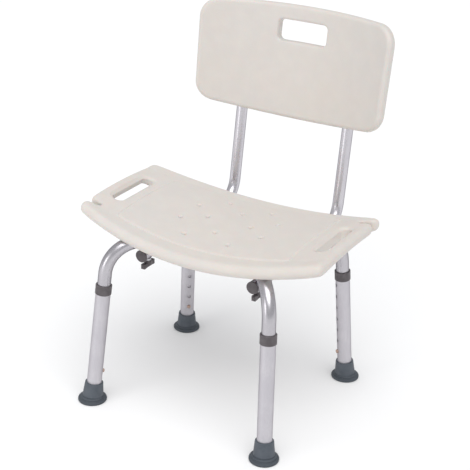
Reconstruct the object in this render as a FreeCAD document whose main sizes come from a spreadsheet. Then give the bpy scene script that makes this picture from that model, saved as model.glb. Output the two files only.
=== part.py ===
import FreeCAD, Part
import math
import os
import re
import Sketcher

# A height-adjustable shower chair.  Two bent aluminium tubes carry a saddle-shaped moulded seat, and each
# ends in two telescopic legs.  Two thinner posts run forward under the seat, are held by wing screws, and
# carry the moulded back panel.  Lengths are millimetres, +X runs to the right as seen from the front, +Y
# points to the rear and +Z is up.  The origin is on the floor, under the middle of the overall box.

Vec = FreeCAD.Vector
Turn = FreeCAD.Rotation
UP = Vec(0, 0, 1)

DIMENSIONS = {
    # Overall layout, measured from the point on the floor midway between the four feet.
    "middle_offset": 48.75,
    "foot_side": 186.2,
    "foot_front": 171.4,
    "collar_side": 171.8,
    "collar_front": 150.2,
    "collar_top": 241.5,
    # Upper frame tubes.
    "frame_radius": 12.5,
    "frame_bore": 11.3,
    "frame_height": 319.5,
    "frame_bend": 64.0,
    "frame_apex": 32.0,
    "apex_bend": 60.0,
    "frame_end": 42.0,
    # Lower leg tubes with their row of height holes.
    "leg_radius": 14.0,
    "leg_bore": 12.8,
    "leg_start": 8.0,
    "hole_first": 61.5,
    "hole_pitch": 25.0,
    "hole_count": 7,
    "hole_radius": 4.0,
    "button_radius": 3.7,
    "button_reach": 17.4,
    # Collars on top of the lower legs.
    "collar_radius": 15.3,
    "collar_height": 19.0,
    "collar_lip": 1.8,
    "collar_edge": 1.0,
    # Rubber feet.
    "sole_radius": 27.3,
    "sole_height": 5.6,
    "ring_radius": 22.6,
    "ring_height": 9.4,
    "cup_foot_radius": 19.8,
    "cup_top_radius": 17.3,
    "cup_height": 38.0,
    # Seat.
    "seat_middle": 5.8,
    "seat_height": 349.6,
    "seat_sag": 5.43e-4,
    "seat_crown": 4.36e-4,
    "seat_length": 498.0,
    "seat_depth": 318.8,
    "seat_bulge": 5.21e-4,
    "seat_thickness": 24.8,
    "margin_drop": 2.4,
    "crease_depth": 121.0,
    "crease_bulge": 4.69e-4,
    "crease_side": 177.0,
    "crease_corner": 10.0,
    "crease_edge": 2.2,
    "seat_end_round": 9.0,
    "handle_side": 211.0,
    "handle_width": 23.0,
    "handle_length": 118.0,
    "dish_width": 44.0,
    "dish_length": 144.0,
    "dish_depth": 7.0,
    "slot_web": 11.0,
    "notch_front": 99.0,
    "notch_width": 10.0,
    "notch_length": 27.0,
    "notch_flare": 8.0,
    "drain_radius": 2.6,
    "drain_column": 45.2,
    "drain_outer_column": 84.3,
    "drain_row_middle": 50.8,
    "drain_row_side": 33.4,
    "drain_row_outer": 84.3,
    # Backrest posts.
    "post_side": 116.0,
    "post_radius": 11.0,
    "post_bore": 9.8,
    "post_height": 295.8,
    "post_front": 110.0,
    "post_rear": 228.5,
    "post_bend": 50.0,
    "post_lean": 7.15,
    "post_top": 652.0,
    "plug_radius": 11.8,
    "plug_head": 2.5,
    # Back panel.
    "panel_rear": 250.0,
    "panel_level": 500.0,
    "panel_width": 404.0,
    "panel_taper": 2.0,
    "panel_bottom": 482.8,
    "panel_top": 700.7,
    "panel_radius": 394.0,
    "panel_arch_top": 6.2,
    "panel_arch_bottom": 17.0,
    "panel_thickness": 22.0,
    "panel_corner": 38.0,
    "panel_edge": 7.0,
    "grip_bottom": 633.0,
    "grip_top": 671.0,
    "grip_width": 100.0,
    "grip_corner": 9.0,
    "grip_edge": 4.0,
    "sleeve_radius": 15.5,
    "sleeve_bottom": 493.0,
    "sleeve_top": 662.0,
    # Fasteners.
    "screw_radius": 3.0,
    "seat_screw_side": 84.0,
    "back_screw_low": 525.0,
    "back_screw_high": 630.0,
    "back_screw_radius": 2.2,
    "wing_length": 38.0,
    "wing_height": 13.5,
    "wing_thick": 8.0,
    "wing_gap": 4.0,
    "nut_radius": 4.6,
    "nut_length": 9.0,
    "clip_width": 8.0,
}

# Width of the valley's shoulder on the seat's margin, the flare of a drain hole's mouth, the sloping
# shoulders of a hose notch, the widening of the finger recess towards the underside, the play of a frame
# tube in its channel, the plays around a screw in a plain hole and in a thread, how far a seat screw ends
# below the seat's surface, a length that cuts through any part, and the points in half of a section.
VALLEY_RUN = 24.0
DRAIN_FLARE = 3.6
SHOULDER = 5.0
RECESS_FLARE = 9.0
CHANNEL_GAP = 0.1
SCREW_PLAY = 0.4
THREAD_PLAY = 0.05
SCREW_COVER = 8.0
THROUGH = 120.0
TOP_STEPS = 12

# Formulas used in several places: how far up the leaning panel a level is, and how far the posts' axes
# stand behind the middle of the panel's front face.
UP_PANEL = "(%s - panel_bottom) / cos(post_lean * 1 deg)"
POST_REARWARD = "post_rear + (panel_level - post_height) * tan(post_lean * 1 deg) - panel_rear"
POST_DEPTH = f"({POST_REARWARD}) * cos(post_lean * 1 deg)"

os.makedirs("parts", exist_ok=True)
doc = FreeCAD.newDocument("shower_chair")
sheet = doc.addObject("Spreadsheet::Sheet", "Dimensions")
for row, (alias, value) in enumerate(DIMENSIONS.items(), start=1):
    sheet.set(f"A{row}", alias)
    sheet.set(f"B{row}", str(value))
    sheet.setAlias(f"B{row}", alias)
doc.recompute()

CORNERS = {"front_left": (-1, -1), "front_right": (1, -1), "rear_left": (-1, 1), "rear_right": (1, 1)}
SIDES = {"left": -1, "right": 1}
parts = []


def size(alias):
    """The number in one cell of the sheet."""
    return float(getattr(sheet, alias))


def bound(formula):
    """A formula with each alias of the sheet turned into a reference to its cell."""
    return re.sub(r"([a-z]+_[a-z_]+)", r"Dimensions.\1", formula)


def value(formula):
    """The number that a formula of aliases gives."""
    return float(sheet.evalExpression(bound(formula)))


def finish(thing, label, placement=FreeCAD.Placement()):
    """Name a finished sub-part, and move it with the whole chair to the middle of the overall box."""
    thing.Label = label
    to_middle = FreeCAD.Placement(Vec(0, -size("middle_offset"), 0), Turn())
    thing.Placement = to_middle.multiply(placement)
    parts.append(thing)
    return thing


def feature(label, shape, placement=FreeCAD.Placement()):
    """A sub-part whose shape is made by Part's own functions."""
    thing = doc.addObject("Part::Feature", label)
    thing.Shape = shape
    return finish(thing, label, placement)


def aimed(origin, along, towards):
    """A placement at origin with local Z along one direction and local X towards another."""
    z = Vec(along).normalize()
    y = z.cross(towards).normalize()
    x = y.cross(z)
    return FreeCAD.Placement(origin, FreeCAD.Rotation(x, y, z, "ZXY"))


# ----------------------------------------------------------------------------------------------------
# Sketch helpers.


def new_body(name):
    return doc.addObject("PartDesign::Body", name)


def sketch_on(body, name, plane, offset=FreeCAD.Placement()):
    """A sketch on one of the body's own origin planes, shifted in that plane's frame by offset."""
    sketch = body.newObject("Sketcher::SketchObject", name)
    support = next(item for item in body.Origin.OriginFeatures if item.Role == plane)
    sketch.AttachmentSupport = [(support, "")]
    sketch.MapMode = "FlatFace"
    sketch.AttachmentOffset = offset
    return sketch


def drive(sketch, kind, references, formula):
    """Add one dimension to a sketch and bind it to a formula of aliases."""
    index = sketch.addConstraint(Sketcher.Constraint(kind, *references, value(formula)))
    sketch.setExpression(f"Constraints[{index}]", bound(formula))


def pin_point(sketch, geometry, end, across, up):
    """Fix one point of a sketch at two driven coordinates."""
    drive(sketch, "DistanceX", (geometry, end), across)
    drive(sketch, "DistanceY", (geometry, end), up)


def draw_circle(sketch, radius, across="0", up="0"):
    centre = Vec(value(across), value(up), 0)
    index = sketch.addGeometry(Part.Circle(centre, Vec(0, 0, 1), value(radius)), False)
    drive(sketch, "Radius", (index,), radius)
    pin_point(sketch, index, 3, across, up)


def draw_outline(sketch, corners):
    """A closed outline of straight lines whose corners have driven coordinates."""
    points = [Vec(value(across), value(up), 0) for across, up in corners]
    first = sketch.GeometryCount
    for start, end in zip(points, points[1:] + points[:1]):
        sketch.addGeometry(Part.LineSegment(start, end), False)
    count = len(points)
    for step in range(count):
        follower = first + (step + 1) % count
        sketch.addConstraint(Sketcher.Constraint("Coincident", first + step, 2, follower, 1))
        pin_point(sketch, first + step, 1, *corners[step])


def add(body, kind, name, **settings):
    """One PartDesign feature.  Text settings that hold formulas are bound to the sheet."""
    item = body.newObject(f"PartDesign::{kind}", name)
    for key, setting in settings.items():
        if key == "bind":
            for target, formula in setting.items():
                item.setExpression(target, bound(formula))
        else:
            setattr(item, key, setting)
    return item


def turned(body, name, corners, offset=FreeCAD.Placement()):
    """A full revolution of a driven outline about its sketch's upright axis."""
    sketch = sketch_on(body, name + "_profile", "XZ_Plane", offset)
    draw_outline(sketch, corners)
    return add(body, "Revolution", name, Profile=sketch, ReferenceAxis=(sketch, ["V_Axis"]), Angle=360.0)


# ----------------------------------------------------------------------------------------------------
# Legs.


def foot_point(corner):
    side, end = CORNERS[corner]
    return Vec(side * size("foot_side"), end * size("foot_front"), 0)


def leg_direction(corner):
    side, end = CORNERS[corner]
    collar = Vec(side * size("collar_side"), end * size("collar_front"), size("collar_top"))
    return (collar - foot_point(corner)).normalize()


def leg_placement(corner):
    """The leg's own frame: Z up the leg, X towards the middle of the chair, which the height holes face."""
    side, end = CORNERS[corner]
    return aimed(foot_point(corner), leg_direction(corner), Vec(-side, -end, 0))


def foot_placement(corner):
    """The foot's own frame: as the leg's, but with X on the side that the leg leans towards."""
    direction = leg_direction(corner)
    return aimed(foot_point(corner), direction, Vec(direction.x, direction.y, 0))


def lower_leg(corner):
    body = new_body("LowerLeg_" + corner)
    ring = sketch_on(body, "Ring", "XY_Plane", FreeCAD.Placement(Vec(0, 0, size("leg_start")), Turn()))
    ring.setExpression("AttachmentOffset.Base.z", bound("leg_start"))
    draw_circle(ring, "leg_radius")
    draw_circle(ring, "leg_bore")
    add(body, "Pad", "Tube", Profile=ring, bind={"Length": "collar_top - collar_lip - leg_start"})
    doc.recompute()
    spot = sketch_on(body, "FirstHole", "YZ_Plane")
    draw_circle(spot, "hole_radius", "0", "hole_first")
    hole = add(body, "Pocket", "Hole", Profile=spot, Reversed=True, bind={"Length": "leg_radius + 1"})
    row = add(body, "LinearPattern", "HoleRow", Originals=[hole], Direction=(spot, ["V_Axis"]))
    row.Occurrences = int(size("hole_count"))
    row.setExpression("Length", bound("hole_pitch * (hole_count - 1)"))
    body.Tip = row
    return finish(body, "lower_leg_" + corner, leg_placement(corner))


def collar(corner):
    """A cap over the lower leg's mouth, with a lip that guides the upper tube."""
    body = new_body("Collar_" + corner)
    base = "collar_top - collar_height"
    profile = [
        ("leg_radius", base),
        ("collar_radius - collar_edge", base),
        ("collar_radius", base + " + collar_edge"),
        ("collar_radius", "collar_top - collar_edge"),
        ("collar_radius - collar_edge", "collar_top"),
        ("leg_bore", "collar_top"),
        ("leg_bore", "collar_top - collar_lip"),
        ("leg_radius", "collar_top - collar_lip"),
    ]
    turned(body, "Cap", profile)
    return finish(body, "collar_" + corner, leg_placement(corner))


def foot(corner):
    """A moulded rubber foot: a flat round sole on the floor and a cup that follows the leaning leg."""
    body = new_body("Foot_" + corner)
    lean = math.degrees(math.acos(leg_direction(corner).z))
    level = FreeCAD.Placement(Vec(0, 0, 0), Turn(UP, lean))
    hollow = "leg_radius + 2.6"
    sole = [
        ("0", "0"),
        ("sole_radius - 0.9", "0"),
        ("sole_radius", "1.1"),
        ("sole_radius", "sole_height - 1.9"),
        ("sole_radius - 0.5", "sole_height - 0.9"),
        ("sole_radius - 1.3", "sole_height - 0.5"),
        ("ring_radius + 0.5", "sole_height + 0.5"),
        ("ring_radius", "sole_height + 0.9"),
        ("ring_radius", "ring_height - 0.7"),
        ("ring_radius - 0.7", "ring_height"),
        ("cup_foot_radius + 1", "ring_height + 0.2"),
        ("cup_foot_radius - 0.2", "ring_height + 0.8"),
        (hollow, "ring_height + 0.8"),
        (hollow, "leg_start - 3"),
        ("0", "leg_start - 3"),
    ]
    turned(body, "Sole", sole, offset=level)
    cup = [
        ("0", "leg_start - 4"),
        ("cup_foot_radius - 1.2", "leg_start - 4"),
        ("cup_foot_radius", "ring_height + 2"),
        ("cup_top_radius", "cup_height - 1.6"),
        ("cup_top_radius - 0.4", "cup_height - 0.5"),
        ("cup_top_radius - 1.2", "cup_height"),
        ("leg_radius", "cup_height"),
        ("leg_radius", "leg_start"),
        ("0", "leg_start"),
    ]
    turned(body, "Cup", cup)
    return finish(body, "foot_" + corner, foot_placement(corner))


def button(corner):
    """A domed snap button that passes through the frame tube and the lowest hole of the leg."""
    body = new_body("Button_" + corner)
    inner = "frame_bore - 2.7"
    profile = [
        ("0", inner),
        ("button_radius + 1.4", inner),
        ("button_radius + 1.4", inner + " + 1"),
        ("button_radius", inner + " + 1"),
        ("button_radius", "button_reach - 1.6"),
        ("button_radius - 0.5", "button_reach - 0.7"),
        ("button_radius - 1.6", "button_reach"),
        ("0", "button_reach"),
    ]
    sideways = FreeCAD.Placement(Vec(0, size("hole_first"), 0), Turn(Vec(0, 0, 1), -90))
    turned(body, "Dome", profile, offset=sideways)
    return finish(body, "snap_button_" + corner, leg_placement(corner))


def spring_clip(corner):
    """A bent steel strip inside the frame tube, one arm on the far wall and the other below the button."""
    body = new_body("Clip_" + corner)
    far = "-frame_bore + 1.1"
    fold = "hole_first - 34"
    profile = [
        (far, "hole_first + 8"),
        (far, fold + " - 4"),
        ("2", fold + " - 4"),
        ("frame_bore - 2.2", "hole_first - button_radius - 2"),
        ("frame_bore - 3.2", "hole_first - button_radius - 2"),
        ("1.4", fold + " - 3"),
        (far + " + 1", fold + " - 3"),
        (far + " + 1", "hole_first + 8"),
    ]
    outline = sketch_on(body, "Strip_profile", "XZ_Plane")
    draw_outline(outline, profile)
    add(body, "Pad", "Strip", Profile=outline, Midplane=True, bind={"Length": "clip_width"})
    return finish(body, "spring_clip_" + corner, leg_placement(corner))


# ----------------------------------------------------------------------------------------------------
# Frame tubes.


def rounded_path(points, radii):
    """A wire of straight runs through the points, with a tangent arc of given radius at each inner one."""
    edges = []
    start = points[0]
    for before, corner, after, radius in zip(points, points[1:], points[2:], radii):
        come = (corner - before).normalize()
        go = (after - corner).normalize()
        turn = come.getAngle(go)
        reach = radius * math.tan(turn / 2)
        enter = corner - come * reach
        leave = corner + go * reach
        inward = (go - come).normalize()
        middle = corner + inward * (radius / math.cos(turn / 2) - radius)
        edges.append(Part.LineSegment(start, enter).toShape())
        edges.append(Part.Arc(enter, middle, leave).toShape())
        start = leave
    edges.append(Part.LineSegment(start, points[-1]).toShape())
    return Part.Wire(edges)


def swept_rod(path, radius):
    """A solid round rod along a path of straight runs and tangent arcs."""
    first = path.Edges[0]
    circle = Part.makeCircle(radius, first.Vertexes[0].Point, first.tangentAt(first.FirstParameter))
    return path.makePipe(Part.Face(Part.Wire([circle])))


def frame_corner(corner):
    """Where the leg's line meets the height of the frame tubes."""
    direction = leg_direction(corner)
    return foot_point(corner) + direction * (size("frame_height") / direction.z)


def frame_path(side):
    """From inside the front leg, up, in towards the middle of the seat, and back out to the rear leg."""
    front = "front_" + side
    rear = "rear_" + side
    ends = [foot_point(name) + leg_direction(name) * size("frame_end") for name in (front, rear)]
    apex = Vec(SIDES[side] * size("frame_apex"), 0, size("frame_height"))
    points = [ends[0], frame_corner(front), apex, frame_corner(rear), ends[1]]
    return rounded_path(points, [size("frame_bend"), size("apex_bend"), size("frame_bend")])


def run_point(side, across, rear=False):
    """The point of a frame tube's level run at a given distance from the middle plane."""
    start = frame_corner(("rear_" if rear else "front_") + side)
    apex = Vec(SIDES[side] * size("frame_apex"), 0, size("frame_height"))
    share = (across - abs(apex.x)) / (abs(start.x) - abs(apex.x))
    return apex + (start - apex) * share


def upright(radius, height, base):
    return Part.makeCylinder(radius, height, base, UP)


def frame_tube(side):
    path = frame_path(side)
    shape = swept_rod(path, size("frame_radius")).cut(swept_rod(path, size("frame_bore")))
    reach = 2 * size("frame_radius") + 6
    drills = []
    for corner in ("front_" + side, "rear_" + side):
        inward = leg_placement(corner).Rotation.multVec(Vec(1, 0, 0))
        centre = foot_point(corner) + leg_direction(corner) * size("hole_first")
        drills.append(Part.makeCylinder(size("hole_radius"), reach / 2, centre, inward))
    for rear in (False, True):
        centre = run_point(side, size("seat_screw_side"), rear)
        drills.append(upright(size("screw_radius") + SCREW_PLAY, reach, centre - UP * (reach / 2)))
    wing = run_point(side, size("post_side"))
    low = size("frame_radius") + 2
    drills.append(upright(size("nut_radius") + THREAD_PLAY, low, wing - UP * low))
    return feature("frame_tube_" + side, shape.cut(drills))


def rivet_nut(side):
    """A rivet nut set in the underside of the frame tube, which the wing screw grips."""
    axis = run_point(side, size("post_side"))
    low = axis - UP * (size("frame_radius") - 0.2)
    barrel = upright(size("nut_radius"), size("nut_length"), low)
    head = upright(size("nut_radius") + 1.6, 1.6, low + UP * (size("nut_length") - 1.6))
    bore = upright(size("screw_radius") + THREAD_PLAY, size("nut_length"), low)
    return feature("rivet_nut_" + side, barrel.fuse(head).cut(bore).removeSplitter())


def seat_screws():
    """Four pan-head screws that hold the seat down on the frame tubes."""
    solids = []
    for side in SIDES:
        for rear in (False, True):
            axis = run_point(side, size("seat_screw_side"), rear)
            low = axis - UP * (size("frame_radius") + THREAD_PLAY)
            top = seat_level(axis.x, axis.y - size("seat_middle")) - SCREW_COVER
            shank = upright(size("screw_radius"), top - low.z, low)
            thick = size("screw_radius") * 1.1
            head = upright(size("screw_radius") * 1.9, thick, low - UP * thick)
            rim = [edge for edge in head.Edges if edge.CenterOfMass.z < low.z - thick / 2 and edge.Closed]
            head = head.makeFillet(thick / 3, rim)
            solids.append(shank.fuse(head).removeSplitter().Solids[0])
    return feature("seat_screws", Part.makeCompound(solids))


# ----------------------------------------------------------------------------------------------------
# Backrest posts with their plugs and wing screws.


def post(side):
    body = new_body("Post_" + side)
    spine = sketch_on(body, "Spine", "YZ_Plane")
    low = Vec(-size("post_front"), size("post_height"), 0)
    knee = Vec(size("post_rear"), size("post_height"), 0)
    angle = math.radians(size("post_lean"))
    rise = size("post_top") - size("post_height")
    top = knee + Vec(rise * math.tan(angle), rise, 0)
    turn = math.pi / 2 - angle
    reach = size("post_bend") * math.tan(turn / 2)
    upward = (top - knee).normalize()
    enter = knee - Vec(reach, 0, 0)
    leave = knee + upward * reach
    centre = enter + Vec(0, size("post_bend"), 0)
    spine.addGeometry(Part.LineSegment(low, enter), False)
    circle = Part.Circle(centre, Vec(0, 0, 1), size("post_bend"))
    spine.addGeometry(Part.ArcOfCircle(circle, -math.pi / 2, -math.pi / 2 + turn), False)
    spine.addGeometry(Part.LineSegment(leave, top), False)
    spine.addConstraint(Sketcher.Constraint("Tangent", 0, 2, 1, 1))
    spine.addConstraint(Sketcher.Constraint("Tangent", 1, 2, 2, 1))
    spine.addConstraint(Sketcher.Constraint("Horizontal", 0))
    pin_point(spine, 0, 1, "-post_front", "post_height")
    drive(spine, "Radius", (1,), "post_bend")
    pin_point(spine, 2, 2, "post_rear + (post_top - post_height) * tan(post_lean * 1 deg)", "post_top")
    index = spine.addConstraint(Sketcher.Constraint("Angle", 2, math.pi / 2 - angle))
    spine.setExpression(f"Constraints[{index}]", bound("90 deg - post_lean * 1 deg"))
    ring = sketch_on(body, "Ring", "XZ_Plane", FreeCAD.Placement(Vec(0, 0, size("post_front")), Turn()))
    ring.setExpression("AttachmentOffset.Base.z", bound("post_front"))
    draw_circle(ring, "post_radius", "0", "post_height")
    draw_circle(ring, "post_bore", "0", "post_height")
    add(body, "AdditivePipe", "Tube", Profile=ring, Spine=(spine, ["Edge1", "Edge2", "Edge3"]))
    doc.recompute()
    on_axis = FreeCAD.Placement(Vec(0, 0, size("post_height")), Turn())
    drill = sketch_on(body, "ScrewSpot", "XY_Plane", on_axis)
    spot = Vec(0, run_point(side, size("post_side")).y, 0)
    index = drill.addGeometry(Part.Circle(spot, Vec(0, 0, 1), size("screw_radius") + SCREW_PLAY), False)
    drive(drill, "Radius", (index,), f"screw_radius + {SCREW_PLAY}")
    add(body, "Pocket", "ScrewHole", Profile=drill, Midplane=True, bind={"Length": "post_radius * 3"})
    doc.recompute()
    leaning = Turn(Vec(1, 0, 0), -size("post_lean"))
    upright_part = FreeCAD.Placement(Vec(0, size("post_height"), -size("post_rear")), leaning)
    backs = sketch_on(body, "BackScrewSpots", "XZ_Plane", upright_part)
    for level in ("back_screw_low", "back_screw_high"):
        climb = f"({level} - post_height) / cos(post_lean * 1 deg) - {POST_DEPTH} * tan(post_lean * 1 deg)"
        draw_circle(backs, f"back_screw_radius + {SCREW_PLAY}", "0", climb)
    add(body, "Pocket", "BackScrewHoles", Profile=backs, bind={"Length": "post_radius + 2"})
    base = Vec(SIDES[side] * size("post_side"), 0, 0)
    return finish(body, "post_" + side, FreeCAD.Placement(base, Turn()))


def post_plug(side):
    """A plastic plug that closes the post's front end."""
    body = new_body("Plug_" + side)
    profile = [
        ("0", "-plug_head"),
        ("plug_radius - 0.8", "-plug_head"),
        ("plug_radius", "-plug_head + 0.8"),
        ("plug_radius", "0"),
        ("post_bore", "0"),
        ("post_bore - 0.6", "9"),
        ("post_bore - 2", "9"),
        ("post_bore - 2", "1"),
        ("0", "1"),
    ]
    turned(body, "Cap", profile)
    base = Vec(SIDES[side] * size("post_side"), -size("post_front"), size("post_height"))
    return finish(body, "post_plug_" + side, aimed(base, Vec(0, 1, 0), Vec(1, 0, 0)))


def wing_head(side):
    """The moulded hand grip of the wing screw: a hub with two rounded wings in line with the post."""
    body = new_body("Wing_" + side)
    hub = sketch_on(body, "HubCircle", "XY_Plane")
    draw_circle(hub, "wing_thick * 0.86")
    add(body, "Pad", "Hub", Profile=hub, Reversed=True, bind={"Length": "wing_height * 0.75"})
    wings = sketch_on(body, "WingProfile", "YZ_Plane")
    outline = [
        ("-wing_length / 2", "-wing_height * 0.25"),
        ("-wing_length / 2", "-wing_height"),
        ("-wing_length * 0.16", "-wing_height * 0.92"),
        ("wing_length * 0.16", "-wing_height * 0.92"),
        ("wing_length / 2", "-wing_height"),
        ("wing_length / 2", "-wing_height * 0.25"),
        ("wing_length * 0.16", "-wing_height * 0.35"),
        ("-wing_length * 0.16", "-wing_height * 0.35"),
    ]
    draw_outline(wings, outline)
    add(body, "Pad", "Wings", Profile=wings, Midplane=True, bind={"Length": "wing_thick"})
    doc.recompute()
    tips = []
    for number, edge in enumerate(body.Tip.Shape.Edges, start=1):
        middle = edge.CenterOfMass
        if abs(abs(middle.y) - size("wing_length") / 2) < 0.01:
            tips.append(f"Edge{number}")
    add(body, "Fillet", "Rounding", Base=(body.Tip, tips), bind={"Radius": "wing_thick * 0.4"})
    doc.recompute()
    shank = sketch_on(body, "ShankHole", "XY_Plane")
    draw_circle(shank, "screw_radius")
    add(body, "Pocket", "Socket", Profile=shank, bind={"Length": "wing_height * 0.5"})
    return finish(body, "wing_head_" + side, wing_placement(side))


def wing_placement(side):
    """The top of the wing screw's head, just under the post."""
    axis = run_point(side, size("post_side"))
    level = size("post_height") - size("post_radius") - size("wing_gap")
    return FreeCAD.Placement(Vec(axis.x, axis.y, level), Turn())


def wing_shank(side):
    """The steel stud of the wing screw, with its collar against the post."""
    stud = doc.addObject("Part::Cylinder", "Stud_" + side)
    stud.setExpression("Radius", bound("screw_radius"))
    rise = "frame_height - post_height + post_radius + wing_gap"
    stud.setExpression("Height", bound(rise + " + wing_height * 0.5"))
    stud.setExpression("Placement.Base.z", bound("-wing_height * 0.5"))
    flange = doc.addObject("Part::Cylinder", "Flange_" + side)
    flange.setExpression("Radius", bound("screw_radius * 2"))
    flange.setExpression("Height", bound("wing_gap * 0.9"))
    flange.setExpression("Placement.Base.z", bound("wing_gap * 0.025"))
    joined = doc.addObject("Part::Fuse", "Shank_" + side)
    joined.Base = stud
    joined.Tool = flange
    joined.Refine = True
    return finish(joined, "wing_shank_" + side, wing_placement(side))


# ----------------------------------------------------------------------------------------------------
# Seat.


def seat_level(across, back):
    """Height of the seat's upper surface: sagging from end to end, gently crowned from front to rear."""
    return size("seat_height") + size("seat_sag") * across**2 - size("seat_crown") * back**2


def seat_half_depth(across):
    return size("seat_depth") / 2 - size("seat_bulge") * across**2


def seat_section(across):
    """The seat's cut across one station: a shallow valley inside each fully rounded long edge."""
    half = size("seat_thickness") / 2
    rim = seat_half_depth(across) - half
    middle = size("seat_middle")
    valley = size("margin_drop")
    slope = 2 * size("seat_crown") * rim
    tilt = math.atan(slope)

    def top_point(back):
        into = min(1.0, (rim - abs(back)) / VALLEY_RUN)
        drop = valley * into**2 * (3 - 2 * into)
        return Vec(across, middle + back, seat_level(across, back) - drop)

    def round_edge(sign):
        crest = Vec(across, middle + sign * rim, seat_level(across, rim))
        normal = Vec(0, sign * math.sin(tilt), math.cos(tilt))
        outward = Vec(0, sign * math.cos(tilt), -math.sin(tilt))
        centre = crest - normal * half
        return crest, centre + outward * half, centre - normal * half

    front_top, front_mid, front_low = round_edge(-1)
    rear_top, rear_mid, rear_low = round_edge(1)
    backs = [rim * step / TOP_STEPS for step in range(-TOP_STEPS, TOP_STEPS + 1)]
    top = Part.BSplineCurve()
    top.interpolate([top_point(back) for back in backs])
    under = Part.BSplineCurve()
    low = rear_low.y - middle
    base = rear_low.z - seat_level(across, low)
    lows = [low * step / 3 for step in range(3, -4, -1)]
    under.interpolate([Vec(across, middle + back, seat_level(across, back) + base) for back in lows])
    curves = [top, Part.Arc(rear_top, rear_mid, rear_low), under, Part.Arc(front_low, front_mid, front_top)]
    return Part.Wire([curve.toShape() for curve in curves])


def seat_slab():
    half = size("seat_length") / 2
    stations = [half * step / 5 for step in range(-5, 6)]
    slab = Part.makeLoft([seat_section(across) for across in stations], True, False)
    ends = [edge for edge in slab.Edges if abs(abs(edge.CenterOfMass.x) - half) < 0.01]
    return slab.makeFillet(size("seat_end_round"), ends)


def raised_middle():
    """The middle of the seat stands a step above its margin, inside a line that follows the outline."""
    side = size("crease_side")
    middle = size("seat_middle")
    depth = size("crease_depth")
    ends = depth - size("crease_bulge") * side**2
    stations = [(side + 10) * step / 4 for step in range(-4, 5)]
    floor = size("margin_drop") + 3

    def band(across):
        backs = [(depth + 6) * step / 3 for step in range(-3, 4)]
        top = [Vec(across, middle + back, seat_level(across, back)) for back in backs]
        low = [point - UP * floor for point in reversed(top)]
        curves = [Part.BSplineCurve(), Part.BSplineCurve()]
        curves[0].interpolate(top)
        curves[1].interpolate(low)
        sides = [Part.LineSegment(top[-1], low[0]), Part.LineSegment(low[-1], top[0])]
        order = [curves[0], sides[0], curves[1], sides[1]]
        return Part.Wire([curve.toShape() for curve in order])

    skin = Part.makeLoft([band(across) for across in stations], True, False)
    points = [Vec(-side, middle - ends, 0), Vec(side, middle - ends, 0)]
    points += [Vec(side, middle + ends, 0), Vec(-side, middle + ends, 0)]
    outline = Part.Wire([
        Part.Arc(points[0], Vec(0, middle - depth, 0), points[1]).toShape(),
        Part.LineSegment(points[1], points[2]).toShape(),
        Part.Arc(points[2], Vec(0, middle + depth, 0), points[3]).toShape(),
        Part.LineSegment(points[3], points[0]).toShape(),
    ])
    prism = Part.Face(outline).extrude(UP * 2 * size("seat_height"))
    upright_edges = [edge for edge in prism.Edges if abs(edge.tangentAt(edge.FirstParameter).z) > 0.9]
    prism = prism.makeFillet(size("crease_corner"), upright_edges)
    pad = prism.common(skin)
    rim = [edge for edge in pad.Edges if on_seat_surface(edge)]
    return pad.makeFillet(size("crease_edge"), rim)


def on_seat_surface(edge):
    middle = edge.valueAt((edge.FirstParameter + edge.LastParameter) / 2)
    return abs(middle.z - seat_level(middle.x, middle.y - size("seat_middle"))) < 0.2


def stadium(width, length, height):
    """A slot-shaped outline, long in Y, centred on Z at a given height."""
    half = width / 2
    end = length / 2 - half
    rim = [
        Part.LineSegment(Vec(half, -end, height), Vec(half, end, height)),
        Part.Arc(Vec(half, end, height), Vec(0, end + half, height), Vec(-half, end, height)),
        Part.LineSegment(Vec(-half, end, height), Vec(-half, -end, height)),
        Part.Arc(Vec(-half, -end, height), Vec(0, -end - half, height), Vec(half, -end, height)),
    ]
    return Part.Wire([curve.toShape() for curve in rim])


def handle_cutter(sign):
    """A hand slot square to the surface, with a dish around its mouth and a recess under its outer bar."""
    across = sign * size("handle_side")
    width = size("handle_width")
    length = size("handle_length")
    centre = Vec(across, size("seat_middle"), seat_level(across, 0))
    depth = size("dish_depth")
    flare = (size("dish_width") - width) / depth
    mouth = [
        stadium(width + 2, length + 2, -depth),
        stadium(size("dish_width") + flare * 3, size("dish_length") + flare * 3, 3),
    ]
    top = depth + size("slot_web")
    under = [
        stadium(width, length + 2, -top),
        stadium(width + RECESS_FLARE, size("dish_length"), -size("seat_thickness") - 1),
    ]
    for ring, outward in zip(under, (6, 7.5)):
        ring.translate(Vec(sign * outward, 0, 0))
    slope = math.degrees(math.atan(2 * size("seat_sag") * across))
    tilted = FreeCAD.Placement(centre, Turn(Vec(0, 1, 0), -slope))
    slot = Part.Face(stadium(width, length, -THROUGH / 2)).extrude(UP * THROUGH)
    slot.Placement = tilted
    for rings in (mouth, under):
        dish = Part.makeLoft(rings, True, True)
        dish.Placement = tilted
        slot = slot.fuse(dish)
    return slot


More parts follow.
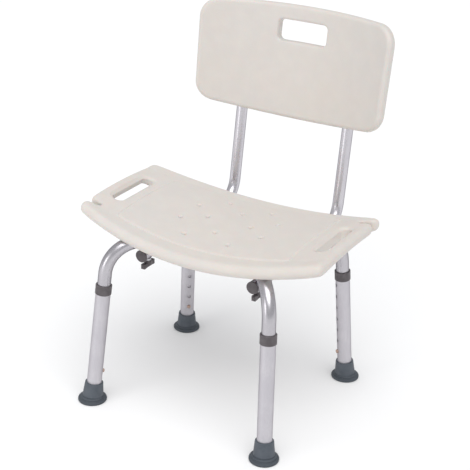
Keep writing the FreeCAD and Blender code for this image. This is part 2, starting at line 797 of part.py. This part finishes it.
def notch_cutter(sign):
    """A hose notch beside a long edge, open and flared at one end of the seat, with sloping shoulders."""
    width = size("notch_width")
    half = width / 2
    inner = size("seat_length") / 2 - size("notch_length")
    back = size("seat_middle") + sign * size("notch_front")
    box = Part.makeBox(THROUGH, 2 * half, THROUGH, Vec(inner, -half, 0))
    end = size("seat_length") / 2
    flare = size("notch_flare")
    mouth = [Vec(end - flare, -half, 0), Vec(end + 1, -half - flare - 1, 0)]
    mouth += [Vec(end + 1, half + flare + 1, 0), Vec(end - flare, half, 0)]
    wedge = Part.Face(Part.makePolygon(mouth + mouth[:1])).extrude(UP * THROUGH)
    cutter = box.fuse([Part.makeCylinder(half, THROUGH, Vec(inner, 0, 0)), wedge])
    if sign < 0:
        cutter.rotate(Vec(0, 0, 0), UP, 180)
    cutter.translate(Vec(0, back, size("seat_height") - size("seat_thickness")))
    length = 2 * (size("notch_length") + half)
    rings = [
        stadium(width, length, -SHOULDER),
        stadium(width + 2 * SHOULDER + 2, length + 2 * SHOULDER + 2, 1),
    ]
    shoulders = Part.makeLoft(rings, True, True)
    shoulders.rotate(Vec(0, 0, 0), UP, 90)
    slope = math.degrees(math.atan(2 * size("seat_sag") * sign * end))
    top = Vec(sign * end, back, seat_level(end, size("notch_front")))
    shoulders.Placement = FreeCAD.Placement(top, Turn(Vec(0, 1, 0), -slope)).multiply(shoulders.Placement)
    return cutter.fuse(shoulders)


def drain_cutters():
    """Twelve drain holes in a diamond pattern, each with a conical mouth."""
    column = size("drain_column")
    outer = size("drain_outer_column")
    spots = [(0, size("drain_row_middle"))]
    spots += [(sign * outer, size("drain_row_side")) for sign in (-1, 1)]
    spots += [(sign * column, size("drain_row_outer")) for sign in (-1, 1)]
    spots = spots + [(across, -back) for across, back in spots] + [(-column, 0), (column, 0)]
    radius = size("drain_radius")
    cutters = []
    for across, back in spots:
        top = Vec(across, size("seat_middle") + back, seat_level(across, back))
        mouth = top - UP * (DRAIN_FLARE - 0.6)
        cutters.append(upright(radius, THROUGH / 2, top - UP * (THROUGH / 2)))
        cutters.append(Part.makeCone(radius, radius + DRAIN_FLARE, DRAIN_FLARE, mouth, UP))
    return cutters


def seat_panel():
    shape = seat_slab().fuse(raised_middle())
    cutters = drain_cutters()
    for sign in (-1, 1):
        cutters += [handle_cutter(sign), notch_cutter(sign)]
    for side in SIDES:
        cutters.append(swept_rod(frame_path(side), size("frame_radius") + CHANNEL_GAP))
        for rear in (False, True):
            axis = run_point(side, size("seat_screw_side"), rear)
            top = seat_level(axis.x, axis.y - size("seat_middle")) - SCREW_COVER
            cutters.append(upright(size("screw_radius") + THREAD_PLAY, top + SCREW_PLAY - axis.z, axis))
    return feature("seat_panel", shape.cut(cutters))


# ----------------------------------------------------------------------------------------------------
# Back panel.


def panel_placement():
    """The panel's own frame: X across, Z up the leaning panel, Y out of its back."""
    lean = math.radians(size("post_lean"))
    drop = (size("panel_level") - size("panel_bottom")) * math.tan(lean)
    base = Vec(0, size("panel_rear") - drop, size("panel_bottom"))
    return FreeCAD.Placement(base, Turn(Vec(1, 0, 0), -size("post_lean")))


def arc_through(sketch, ends, rise):
    """A sketch arc between two points at one height, arched upwards by a signed rise."""
    left, right = ends
    middle = Vec(0, left.y + rise, 0)
    sketch.addGeometry(Part.Arc(left, middle, right), False)


def curved_slab(body):
    """The panel's thickness, curved about an upright axis in front of it."""
    plan = sketch_on(body, "Plan", "XY_Plane")
    inner = size("panel_radius")
    outer = inner + size("panel_thickness")
    reach = math.asin((size("panel_width") / 2 + 20) / inner)
    centre = Vec(0, -inner, 0)
    angles = (math.pi / 2 - reach, math.pi / 2 + reach)
    for radius in (inner, outer):
        plan.addGeometry(Part.ArcOfCircle(Part.Circle(centre, Vec(0, 0, 1), radius), *angles), False)
    for index, angle in enumerate(angles):
        spoke = Vec(math.cos(angle), math.sin(angle), 0)
        plan.addGeometry(Part.LineSegment(centre + spoke * inner, centre + spoke * outer), False)
        plan.addConstraint(Sketcher.Constraint("Coincident", 2 + index, 1, 0, 1 + index))
        plan.addConstraint(Sketcher.Constraint("Coincident", 2 + index, 2, 1, 1 + index))
    pin_point(plan, 0, 3, "0", "-panel_radius")
    plan.addConstraint(Sketcher.Constraint("Coincident", 1, 3, 0, 3))
    drive(plan, "Radius", (0,), "panel_radius")
    drive(plan, "Radius", (1,), "panel_radius + panel_thickness")
    add(body, "Pad", "Slab", Profile=plan, bind={"Length": UP_PANEL % "panel_top"})


def trim_outline(body):
    """Cut the slab to its outline: a gently arched top and bottom, and sides that taper a little."""
    outline = sketch_on(body, "Outline", "XZ_Plane")
    half = size("panel_width") / 2
    taper = size("panel_taper")
    height = value(UP_PANEL % "panel_top")
    low = size("panel_arch_bottom")
    high = height - size("panel_arch_top")
    low_left = Vec(taper - half, low, 0)
    low_right = Vec(half - taper, low, 0)
    high_left = Vec(-half - taper, high, 0)
    high_right = Vec(half + taper, high, 0)
    arc_through(outline, (low_left, low_right), -low)
    outline.addGeometry(Part.LineSegment(low_right, high_right), False)
    arc_through(outline, (high_left, high_right), height - high)
    outline.addGeometry(Part.LineSegment(high_left, low_left), False)
    far = "panel_width"
    below = "-panel_width / 2"
    draw_outline(outline, [("-" + far, below), (far, below), (far, far), ("-" + far, far)])
    add(body, "Pocket", "Trim", Profile=outline, Midplane=True, bind={"Length": "panel_width * 2"})


def edges_where(body, wanted):
    """Names of the edges of the body's present shape whose middle point passes a test."""
    names = []
    for number, edge in enumerate(body.Tip.Shape.Edges, start=1):
        middle = edge.valueAt((edge.FirstParameter + edge.LastParameter) / 2)
        if wanted(edge, middle):
            names.append(f"Edge{number}")
    return names


def runs_through(edge):
    """Whether an edge runs through the panel's thickness."""
    return edge.Curve.TypeId == "Part::GeomLine" and abs(edge.tangentAt(edge.FirstParameter).y) > 0.8


def back_panel():
    body = new_body("BackPanel")
    curved_slab(body)
    trim_outline(body)
    doc.recompute()
    half = size("panel_width") / 2
    corners = edges_where(body, lambda edge, middle: abs(middle.x) > half / 2 and runs_through(edge))
    add(body, "Fillet", "Corners", Base=(body.Tip, corners), bind={"Radius": "panel_corner"})
    doc.recompute()
    rims = edges_where(body, lambda edge, middle: not runs_through(edge))
    add(body, "Fillet", "SoftRim", Base=(body.Tip, rims), bind={"Radius": "panel_edge"})
    grip = sketch_on(body, "Grip", "XZ_Plane")
    side = "grip_width / 2"
    low = UP_PANEL % "grip_bottom"
    high = UP_PANEL % "grip_top"
    draw_outline(grip, [("-" + side, low), (side, low), (side, high), ("-" + side, high)])
    add(body, "Pocket", "GripSlot", Profile=grip, Midplane=True, bind={"Length": "panel_thickness * 4"})
    doc.recompute()
    inside = edges_where(body, lambda edge, middle: abs(middle.x) < half / 2 and runs_through(edge))
    add(body, "Fillet", "GripCorners", Base=(body.Tip, inside), bind={"Radius": "grip_corner"})
    doc.recompute()
    levels = (value(low) - 1, value(high) + 1)

    def around_grip(edge, middle):
        inside_width = abs(middle.x) < size("grip_width") / 2 + 1
        return inside_width and levels[0] < middle.z < levels[1] and not runs_through(edge)

    mouth = edges_where(body, around_grip)
    add(body, "Fillet", "GripRim", Base=(body.Tip, mouth), bind={"Radius": "grip_edge"})
    doc.recompute()
    sleeves(body)
    return finish(body, "back_panel", panel_placement())


def sleeves(body):
    """Two upright sleeves on the back of the panel, closed at the top, that the posts fit into."""
    low = UP_PANEL % "sleeve_bottom"
    high = UP_PANEL % "sleeve_top"
    profile = [
        ("0", low),
        ("sleeve_radius - 2", low),
        ("sleeve_radius", f"{low} + 2"),
        ("sleeve_radius", f"{high} - 6"),
        ("sleeve_radius - 1.6", f"{high} - 2.6"),
        ("sleeve_radius - 5", f"{high} - 0.6"),
        ("sleeve_radius - 9", high),
        ("0", high),
    ]
    for side, sign in SIDES.items():
        axis = FreeCAD.Placement(Vec(sign * size("post_side"), 0, -value(POST_DEPTH)), Turn())
        turned(body, "Sleeve_" + side, profile, offset=axis)
        doc.recompute()
    bores = sketch_on(body, "PostBores", "XY_Plane")
    for sign in ("", "-"):
        draw_circle(bores, f"post_radius + {CHANNEL_GAP}", sign + "post_side", POST_DEPTH)
    depth = UP_PANEL % "post_top" + " + 3"
    add(body, "Pocket", "Bores", Profile=bores, Reversed=True, bind={"Length": depth})
    doc.recompute()
    spots = sketch_on(body, "ScrewSpots", "XZ_Plane")
    for sign in ("", "-"):
        for level in ("back_screw_low", "back_screw_high"):
            draw_circle(spots, f"back_screw_radius + {THREAD_PLAY}", sign + "post_side", UP_PANEL % level)
    add(body, "Pocket", "ScrewHoles", Profile=spots, bind={"Length": "panel_thickness * 2"})


def back_screws():
    """Four screws through the back of the sleeves into the posts."""
    solids = []
    face = value(POST_DEPTH) + size("sleeve_radius")
    radius = size("back_screw_radius")
    thick = radius * 1.2
    for sign in SIDES.values():
        for level in ("back_screw_low", "back_screw_high"):
            spot = Vec(sign * size("post_side"), face, value(UP_PANEL % level))
            shank = Part.makeCylinder(radius, size("sleeve_radius") - 5, spot, Vec(0, -1, 0))
            head = Part.makeCylinder(radius * 2, thick, spot, Vec(0, 1, 0))
            rim = [edge for edge in head.Edges if edge.CenterOfMass.y > face + thick / 2 and edge.Closed]
            head = head.makeFillet(thick / 2, rim)
            solids.append(shank.fuse(head).removeSplitter().Solids[0])
    return feature("back_screws", Part.makeCompound(solids), panel_placement())


# ----------------------------------------------------------------------------------------------------
# The whole chair.


def build():
    seat_panel()
    back_panel()
    for side in SIDES:
        frame_tube(side)
        rivet_nut(side)
        post(side)
        post_plug(side)
        wing_head(side)
        wing_shank(side)
    seat_screws()
    back_screws()
    for corner in CORNERS:
        lower_leg(corner)
        collar(corner)
        foot(corner)
        button(corner)
        spring_clip(corner)
    doc.recompute()


def write():
    """Check every object and every sub-part, then write one file for each sub-part."""
    for item in doc.Objects:
        if "Invalid" in item.State or "Error" in item.State:
            raise RuntimeError(f"{item.Label} did not build: {item.State}")
    for item in parts:
        shape = item.Shape
        if shape.isNull() or not shape.isValid() or not shape.Solids:
            raise RuntimeError(f"{item.Label} has no valid solid")
        shape.exportStep(f"parts/{item.Label}.step")
        print(f"{item.Label}: {len(shape.Solids)} solid(s), {shape.Volume / 1000:.1f} cm3")


build()
write()
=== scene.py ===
"""The looks of a shower chair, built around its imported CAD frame."""

import math

import bpy
import numpy as np
from mathutils import Matrix, Vector


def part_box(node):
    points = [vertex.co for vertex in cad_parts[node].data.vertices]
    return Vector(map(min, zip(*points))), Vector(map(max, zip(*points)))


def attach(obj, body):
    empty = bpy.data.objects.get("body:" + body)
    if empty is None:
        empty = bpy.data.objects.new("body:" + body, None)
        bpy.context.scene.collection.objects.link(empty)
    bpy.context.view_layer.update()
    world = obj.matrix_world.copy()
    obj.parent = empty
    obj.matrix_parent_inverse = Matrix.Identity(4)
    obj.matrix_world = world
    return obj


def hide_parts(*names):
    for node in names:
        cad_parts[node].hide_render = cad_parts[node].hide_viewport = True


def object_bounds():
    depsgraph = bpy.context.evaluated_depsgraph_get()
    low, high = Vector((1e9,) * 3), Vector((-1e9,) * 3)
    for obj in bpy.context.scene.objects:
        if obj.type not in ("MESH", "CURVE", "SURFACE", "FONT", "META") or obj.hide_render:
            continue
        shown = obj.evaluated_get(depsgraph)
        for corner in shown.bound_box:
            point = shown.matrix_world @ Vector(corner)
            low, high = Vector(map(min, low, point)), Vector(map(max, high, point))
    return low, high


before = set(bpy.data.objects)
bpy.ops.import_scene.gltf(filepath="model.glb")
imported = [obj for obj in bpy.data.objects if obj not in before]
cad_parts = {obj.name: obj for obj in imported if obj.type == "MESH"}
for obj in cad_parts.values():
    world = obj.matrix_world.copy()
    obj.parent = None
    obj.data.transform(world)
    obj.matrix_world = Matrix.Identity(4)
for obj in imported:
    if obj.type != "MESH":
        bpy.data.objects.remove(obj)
CAD_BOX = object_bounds()

CORNERS = ("front_left", "front_right", "rear_left", "rear_right")
SIDES = ("left", "right")

# How the two panels are remade: grid size in metres, smoothing rounds and share of faces kept.
SEAT_VOXEL, SEAT_ROUNDS, SEAT_SHARE = 0.0012, 2, 0.35
BACK_VOXEL, BACK_ROUNDS, BACK_SHARE = 0.0014, 4, 0.30

# The spots of the seat that are rounded strongly: its corners and the mouths of its notches.
END_STRIP = 0.010
NOTCH_OFFSET = 0.099
SPOT_REACH = 0.026
SPOT_ROUNDS = 130

# The back's grip slot: its place, its half sizes and how much wider and taller its mouth is made.
GRIP_DROP = 0.0483
GRIP_HALF_WIDTH = 0.050
GRIP_HALF_HEIGHT = 0.019
GRIP_REACH = 0.022
GRIP_WIDEN = 0.035
GRIP_LOWER = 0.11
GRIP_RAISE = 0.02

# The stage.
FLOOR_SIZE = 30.0
FLOOR_GAP = 0.0002
SKY_STRENGTH = 0.65

# The camera: angles in degrees, sensor and lens in millimetres, place in metres.
CAMERA_AZIMUTH, CAMERA_ELEVATION, CAMERA_ROLL = 28.64, 24.15, 2.24
CAMERA_SENSOR, CAMERA_LENS = 36.0, 93.55
CAMERA_PLACE = (1.00074, -1.85090, 1.25133)


# ------------------------------------------------------------------------------------------------
# Materials.


class Shader:
    """A small helper that builds one node material around a Principled shader."""

    def __init__(self, name):
        self.material = bpy.data.materials.new(name)
        self.material.use_nodes = True
        self.tree = self.material.node_tree
        self.surface = self.tree.nodes["Principled BSDF"]
        self.coords = self.tree.nodes.new("ShaderNodeTexCoord").outputs["Object"]
        self.normal = None

    def node(self, kind, **settings):
        item = self.tree.nodes.new("ShaderNode" + kind)
        for key, setting in settings.items():
            setattr(item, key, setting)
        return item

    def feed(self, item, key, source):
        if isinstance(source, bpy.types.NodeSocket):
            self.tree.links.new(source, item.inputs[key])
        else:
            item.inputs[key].default_value = source

    def value(self, **numbers):
        """Numbers that are the same all over the surface."""
        for key, number in numbers.items():
            self.surface.inputs[key.replace("_", " ")].default_value = number

    def mapped(self, scale=(1, 1, 1), turn=(0, 0, 0)):
        item = self.node("Mapping")
        self.feed(item, "Vector", self.coords)
        item.inputs["Scale"].default_value = scale
        item.inputs["Rotation"].default_value = turn
        return item.outputs["Vector"]

    def noise(self, scale, detail=2.0, rough=0.5, vector=None):
        item = self.node("TexNoise")
        self.feed(item, "Vector", vector or self.coords)
        item.inputs["Scale"].default_value = scale
        item.inputs["Detail"].default_value = detail
        item.inputs["Roughness"].default_value = rough
        return item.outputs["Fac"]

    def cells(self, scale, smooth):
        item = self.node("TexVoronoi", feature="SMOOTH_F1")
        self.feed(item, "Vector", self.coords)
        item.inputs["Scale"].default_value = scale
        item.inputs["Smoothness"].default_value = smooth
        return item.outputs["Distance"]

    def spread(self, source, low, high, start=0.0, end=1.0):
        """Map a texture's range onto another range."""
        item = self.node("MapRange")
        self.feed(item, "Value", source)
        item.inputs["From Min"].default_value = start
        item.inputs["From Max"].default_value = end
        item.inputs["To Min"].default_value = low
        item.inputs["To Max"].default_value = high
        return item.outputs["Result"]

    def maths(self, operation, first, second):
        item = self.node("Math", operation=operation)
        self.feed(item, 0, first)
        self.feed(item, 1, second)
        return item.outputs["Value"]

    def blend(self, share, first, second):
        item = self.node("Mix", data_type="RGBA")
        self.feed(item, "Factor", share)
        self.feed(item, 6, first)
        self.feed(item, 7, second)
        return item.outputs[2]

    def height(self):
        """The height of a point in the object's own frame."""
        item = self.node("SeparateXYZ")
        self.feed(item, "Vector", self.coords)
        return item.outputs["Z"]

    def bump(self, texture, depth, strength):
        """Stack one more layer of relief, with its depth in metres."""
        item = self.node("Bump")
        item.inputs["Strength"].default_value = strength
        item.inputs["Distance"].default_value = depth
        self.feed(item, "Height", texture)
        if self.normal is not None:
            self.feed(item, "Normal", self.normal)
        self.normal = item.outputs["Normal"]

    def done(self, colour, roughness):
        self.feed(self.surface, "Base Color", colour)
        self.feed(self.surface, "Roughness", roughness)
        if self.normal is not None:
            self.feed(self.surface, "Normal", self.normal)
        return self.material


def tint(red, green, blue):
    return (red, green, blue, 1.0)


def panel_plastic():
    """Blow-moulded polyethylene: warm off-white, with a fine pebbled grain and shrink waviness."""
    made = Shader("panel_polyethylene")
    broad = made.noise(5.0, 2.0)
    patches = made.noise(38.0, 4.0)
    grain = made.cells(620.0, 0.6)
    speck = made.noise(1500.0, 2.0)
    warm = made.blend(made.spread(broad, 0.0, 1.0, 0.35, 0.65),
                      tint(0.655, 0.607, 0.560), tint(0.640, 0.604, 0.570))
    pale = made.blend(made.spread(patches, 0.0, 0.55, 0.40, 0.75),
                      warm, tint(0.690, 0.645, 0.602))
    colour = made.blend(made.spread(speck, 0.0, 0.10, 0.45, 0.80),
                        pale, tint(0.520, 0.480, 0.445))
    rough = made.maths("ADD", made.spread(patches, 0.40, 0.52, 0.3, 0.7),
                       made.spread(grain, 0.05, 0.0, 0.0, 0.5))
    made.bump(made.noise(22.0, 2.0), 0.0010, 0.30)
    made.bump(grain, 0.00022, 0.45)
    made.bump(speck, 0.00008, 0.35)
    made.value(Subsurface_Weight=0.15, Subsurface_Scale=0.005, Specular_IOR_Level=0.42)
    return made.done(colour, rough)


def aluminium(name, roughness, edge, painted_shade):
    """Satin anodised drawn tube: fine lines along it, a soft sheen and a few faint marks. The
    shade factor scales all its colours down, and below 1 this is painted shade. The edge value is
    a dark edge tint that paints dark reflections at grazing angles.
    """
    made = Shader(name)
    lines = made.noise(1.0, 3.0, 0.6, made.mapped((1600.0, 1600.0, 14.0)))
    satin = made.noise(2600.0, 2.0)
    cloud = made.noise(26.0, 3.0)
    marks = made.noise(1.0, 2.0, 0.5, made.mapped((210.0, 210.0, 640.0)))
    # All four colours are scaled by the shade factor, so a darker copy of the same metal is
    # painted shade.
    dark, light, line, mark = (
        tint(*(painted_shade * part for part in colour))
        for colour in (
            (0.60, 0.58, 0.615),
            (0.655, 0.635, 0.665),
            (0.50, 0.485, 0.52),
            (0.74, 0.73, 0.75),
        )
    )
    base = made.blend(made.spread(cloud, 0.0, 1.0, 0.35, 0.65), dark, light)
    lined = made.blend(made.spread(lines, 0.0, 0.35, 0.35, 0.70), base, line)
    colour = made.blend(made.spread(marks, 0.0, 0.30, 0.68, 0.80), lined, mark)
    rough = made.maths("ADD", made.spread(lines, roughness - 0.05, roughness + 0.06, 0.3, 0.7),
                       made.spread(cloud, -0.03, 0.04, 0.3, 0.7))
    made.bump(lines, 0.00004, 0.35)
    made.bump(satin, 0.00003, 0.30)
    # The low Specular Tint paints dark reflections on the grazing edges of the tube.
    made.value(Metallic=1.0, Specular_Tint=tint(edge, 0.96 * edge, edge))
    return made.done(colour, rough)


def dark_plastic():
    """Moulded dark warm-grey plastic with a spark-eroded texture and slightly rubbed patches."""
    made = Shader("dark_moulded_plastic")
    texture = made.noise(1500.0, 3.0, 0.6)
    rub = made.noise(90.0, 4.0)
    base = made.blend(made.spread(rub, 0.0, 1.0, 0.40, 0.72),
                      tint(0.078, 0.067, 0.072), tint(0.112, 0.099, 0.106))
    colour = made.blend(made.spread(texture, 0.0, 0.30, 0.45, 0.75),
                        base, tint(0.140, 0.127, 0.133))
    rough = made.spread(rub, 0.56, 0.42, 0.3, 0.7)
    made.bump(texture, 0.00012, 0.45)
    made.bump(made.noise(300.0, 2.0), 0.0001, 0.25)
    return made.done(colour, rough)


def foot_rubber():
    """Dark blue-grey rubber, with painted shade that darkens the rim standing on the floor."""
    made = Shader("foot_rubber")
    bloom = made.noise(60.0, 4.0)
    pores = made.noise(1100.0, 3.0)
    cool = made.blend(made.spread(bloom, 0.0, 1.0, 0.35, 0.7),
                      tint(0.064, 0.077, 0.094), tint(0.094, 0.107, 0.127))
    # Painted shade: the colour darkens towards the bottom rim, near the floor.
    low = made.spread(made.height(), 0.85, 0.0, 0.007, 0.013)
    painted_rim_shade = made.maths("MULTIPLY", low, made.spread(bloom, 0.7, 1.0, 0.3, 0.7))
    colour = made.blend(painted_rim_shade, cool, tint(0.046, 0.056, 0.068))
    rough = made.spread(bloom, 0.50, 0.66, 0.3, 0.7)
    made.bump(pores, 0.00012, 0.40)
    made.bump(made.noise(240.0, 2.0), 0.0002, 0.25)
    made.value(Specular_IOR_Level=0.50)
    return made.done(colour, rough)


def steel(name, colour, roughness):
    """Plated or bare steel with fine scratches."""
    made = Shader(name)
    scratch = made.noise(1.0, 3.0, 0.6, made.mapped((2200.0, 700.0, 900.0), (0.4, 0.2, 0.1)))
    cloud = made.noise(160.0, 3.0)
    dull = tuple(0.72 * part for part in colour[:3]) + (1.0,)
    mixed = made.blend(made.spread(cloud, 0.0, 0.7, 0.35, 0.75), colour, dull)
    rough = made.maths("ADD", made.spread(scratch, roughness - 0.06, roughness + 0.08, 0.3, 0.7),
                       made.spread(cloud, 0.0, 0.06, 0.3, 0.7))
    made.bump(scratch, 0.00003, 0.40)
    made.value(Metallic=1.0)
    return made.done(mixed, rough)


def dress(piece, material):
    """Give a piece one material in place of any it has."""
    piece.data.materials.clear()
    piece.data.materials.append(material)


# ------------------------------------------------------------------------------------------------
# Panels: the CAD shapes with the soft edges that blow moulding leaves.


def copied(node, name):
    """A free copy of a node's shape, in the shared frame."""
    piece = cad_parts[node].copy()
    piece.data = piece.data.copy()
    piece.name = name
    piece.data.name = name
    bpy.context.scene.collection.objects.link(piece)
    piece.parent = None
    piece.matrix_world = Matrix.Identity(4)
    return piece


def apply_modifiers(piece):
    """Put the modified mesh in the place of the piece's own."""
    bpy.context.view_layer.update()
    graph = bpy.context.evaluated_depsgraph_get()
    mesh = bpy.data.meshes.new_from_object(piece.evaluated_get(graph))
    old = piece.data
    piece.modifiers.clear()
    piece.data = mesh
    bpy.data.meshes.remove(old)


def softened(node, name, voxel, rounds):
    """The node's shape on an even grid, smoothed enough to round its sharp edges."""
    piece = copied(node, name)
    remesh = piece.modifiers.new("even", "REMESH")
    remesh.mode = "VOXEL"
    remesh.voxel_size = voxel
    smooth = piece.modifiers.new("soft", "SMOOTH")
    smooth.factor = 0.5
    smooth.iterations = rounds
    apply_modifiers(piece)
    return piece


def positions(piece):
    """The places of a piece's vertices, one row each."""
    flat = np.empty(len(piece.data.vertices) * 3, dtype=np.float32)
    piece.data.vertices.foreach_get("co", flat)
    return flat.reshape(-1, 3).astype(float)


def round_off(piece, spots, rounds):
    """Smooth the shape strongly round some spots, each a point and a reach."""
    places = positions(piece)
    weight = np.zeros(len(places))
    for spot, reach in spots:
        near = np.linalg.norm((places - np.array(spot)) * (1, 1, 0.5), axis=1) / reach
        weight = np.maximum(weight, np.clip(1.6 * (1 - near), 0, 1))
    group = piece.vertex_groups.new(name="round")
    for index in np.nonzero(weight > 0.01)[0]:
        group.add([int(index)], float(weight[index]), "REPLACE")
    smooth = piece.modifiers.new("round", "SMOOTH")
    smooth.factor = 0.5
    smooth.iterations = rounds
    smooth.vertex_group = "round"
    apply_modifiers(piece)


def thinned(piece, share):
    """Keep a share of the faces, most of them where the shape curves, and shade them smoothly."""
    thin = piece.modifiers.new("thin", "DECIMATE")
    thin.ratio = share
    apply_modifiers(piece)
    for polygon in piece.data.polygons:
        polygon.use_smooth = True
    return piece


def seat_shell():
    """The seat: softened all over, with rounder corners and notch mouths."""
    shell = softened("seat_panel", "seat_shell", SEAT_VOXEL, SEAT_ROUNDS)
    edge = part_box("seat_panel")[1][0]
    places = positions(shell)
    ends = places[np.abs(places[:, 0]) > edge - END_STRIP]
    front, rear = ends[:, 1].min(), ends[:, 1].max()
    middle = (front + rear) / 2
    level = ends[:, 2].mean()
    spots = [
        ((side * edge, along, level), SPOT_REACH)
        for side in (-1, 1)
        for along in (front, rear, middle + side * NOTCH_OFFSET)
    ]
    round_off(shell, spots, SPOT_ROUNDS)
    return thinned(shell, SEAT_SHARE)


def back_shell():
    """The back panel: softened all over, with the mouth of its grip slot opened out a little."""
    shell = softened("back_panel", "back_shell", BACK_VOXEL, BACK_ROUNDS)
    places = positions(shell)
    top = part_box("back_panel")[1][2]
    off_side = places[:, 0]
    off_level = places[:, 2] - (top - GRIP_DROP)
    past_side = np.maximum(np.abs(off_side) - GRIP_HALF_WIDTH, 0)
    past_level = np.maximum(np.abs(off_level) - GRIP_HALF_HEIGHT, 0)
    share = np.clip(1 - (past_side + past_level) / GRIP_REACH, 0, 1) ** 2
    places[:, 0] += GRIP_WIDEN * off_side * share
    places[:, 2] += np.where(off_level < 0, GRIP_LOWER, GRIP_RAISE) * off_level * share
    shell.data.vertices.foreach_set("co", places.astype(np.float32).ravel())
    shell.data.update()
    return thinned(shell, BACK_SHARE)


# ------------------------------------------------------------------------------------------------
# Stage.


def build_stage():
    """A very wide pale floor under an even pale sky."""
    bpy.ops.mesh.primitive_plane_add(size=FLOOR_SIZE, location=(0, 0, 0))
    floor = bpy.context.object
    floor.name = "studio_floor"
    floor.location.z = CAD_BOX[0][2] - FLOOR_GAP
    made = Shader("studio_floor")
    made.value(Specular_IOR_Level=0.1)
    mottle = made.noise(1.4, 2.0)
    colour = made.blend(mottle, tint(0.930, 0.930, 0.930), tint(0.945, 0.945, 0.945))
    dress(floor, made.done(colour, made.spread(mottle, 0.75, 0.85)))
    world = bpy.data.worlds.new("studio")
    bpy.context.scene.world = world
    world.use_nodes = True
    sky = world.node_tree.nodes["Background"]
    sky.inputs["Color"].default_value = tint(0.97, 0.98, 1.0)
    sky.inputs["Strength"].default_value = SKY_STRENGTH


def soft_light(name, place, target, size, power):
    """A white rectangular lamp that faces its target."""
    lamp = bpy.data.lights.new(name, "AREA")
    lamp.shape = "RECTANGLE"
    lamp.size, lamp.size_y = size
    lamp.energy = power
    light = bpy.data.objects.new(name, lamp)
    bpy.context.scene.collection.objects.link(light)
    light.location = place
    aim = Vector(target) - Vector(place)
    light.rotation_euler = aim.to_track_quat("-Z", "Y").to_euler()


def soft_sun(azimuth, elevation, spread, strength):
    """The even main light: a very wide overhead diffuser, far away, in front and to the right."""
    lamp = bpy.data.lights.new("key", "SUN")
    lamp.angle = math.radians(spread)
    lamp.energy = strength
    light = bpy.data.objects.new("key", lamp)
    bpy.context.scene.collection.objects.link(light)
    across, up = math.radians(azimuth), math.radians(elevation)
    towards = Vector((
        math.sin(across) * math.cos(up),
        -math.cos(across) * math.cos(up),
        math.sin(up),
    ))
    light.rotation_euler = towards.to_track_quat("Z", "Y").to_euler()


def build_camera():
    """The camera stands in front and to the right of the chair and looks down at it."""
    azimuth = math.radians(CAMERA_AZIMUTH)
    elevation = math.radians(CAMERA_ELEVATION)
    roll = math.radians(CAMERA_ROLL)
    back = Vector((
        math.sin(azimuth) * math.cos(elevation),
        -math.cos(azimuth) * math.cos(elevation),
        math.sin(elevation),
    ))
    level = Vector((math.cos(azimuth), math.sin(azimuth), 0))
    rise = back.cross(level)
    right = level * math.cos(roll) + rise * math.sin(roll)
    up = rise * math.cos(roll) - level * math.sin(roll)
    lens = bpy.data.cameras.new("camera")
    lens.sensor_width = CAMERA_SENSOR
    lens.lens = CAMERA_LENS
    camera = bpy.data.objects.new("camera", lens)
    bpy.context.scene.collection.objects.link(camera)
    turn = Matrix((right, up, back)).transposed().to_4x4()
    camera.matrix_world = Matrix.Translation(Vector(CAMERA_PLACE)) @ turn
    bpy.context.scene.camera = camera


# ------------------------------------------------------------------------------------------------
# The chair.


def build_chair():
    """Dress every node, with soft shells in the place of the two panels."""
    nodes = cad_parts
    plastic = panel_plastic()
    dark = dark_plastic()
    rubber = foot_rubber()
    brass = steel("button_brass", tint(0.56, 0.41, 0.34), 0.38)
    zinc = steel("zinc_steel", tint(0.62, 0.62, 0.64), 0.34)
    spring = steel("spring_steel", tint(0.42, 0.42, 0.45), 0.38)
    # The frame tube is the post metal darkened by 0.84, and the lower leg by 0.98: painted shade.
    # Their low edge tints paint dark edge reflections.
    shaded_frame_metal = aluminium("frame_tube", roughness=0.27, edge=0.20, painted_shade=0.84)
    post_metal = aluminium("post_tube", roughness=0.27, edge=0.20, painted_shade=1.0)
    leg_metal = aluminium("lower_leg", roughness=0.46, edge=0.40, painted_shade=0.98)

    shells = {"seat_panel": seat_shell(), "back_panel": back_shell()}
    for node, shell in shells.items():
        dress(shell, plastic)
        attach(shell, "chair")
        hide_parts(node)

    for side in SIDES:
        dress(nodes["frame_tube_" + side], shaded_frame_metal)
        dress(nodes["post_" + side], post_metal)
        dress(nodes["post_plug_" + side], dark)
        dress(nodes["wing_head_" + side], dark)
        dress(nodes["wing_shank_" + side], zinc)
        dress(nodes["rivet_nut_" + side], zinc)
    dress(nodes["seat_screws"], zinc)
    dress(nodes["back_screws"], zinc)
    for corner in CORNERS:
        dress(nodes["lower_leg_" + corner], leg_metal)
        dress(nodes["collar_" + corner], dark)
        dress(nodes["foot_" + corner], rubber)
        dress(nodes["snap_button_" + corner], brass)
        dress(nodes["spring_clip_" + corner], spring)


build_chair()
build_stage()
soft_sun(azimuth=33.0, elevation=64.0, spread=60.0, strength=1.66)
soft_light("fill", place=(-1.2, -2.4, 0.75), target=(0.0, 0.1, 0.3), size=(0.9, 1.0), power=7.5)
build_camera()
bpy.context.scene.view_settings.view_transform = "Standard"
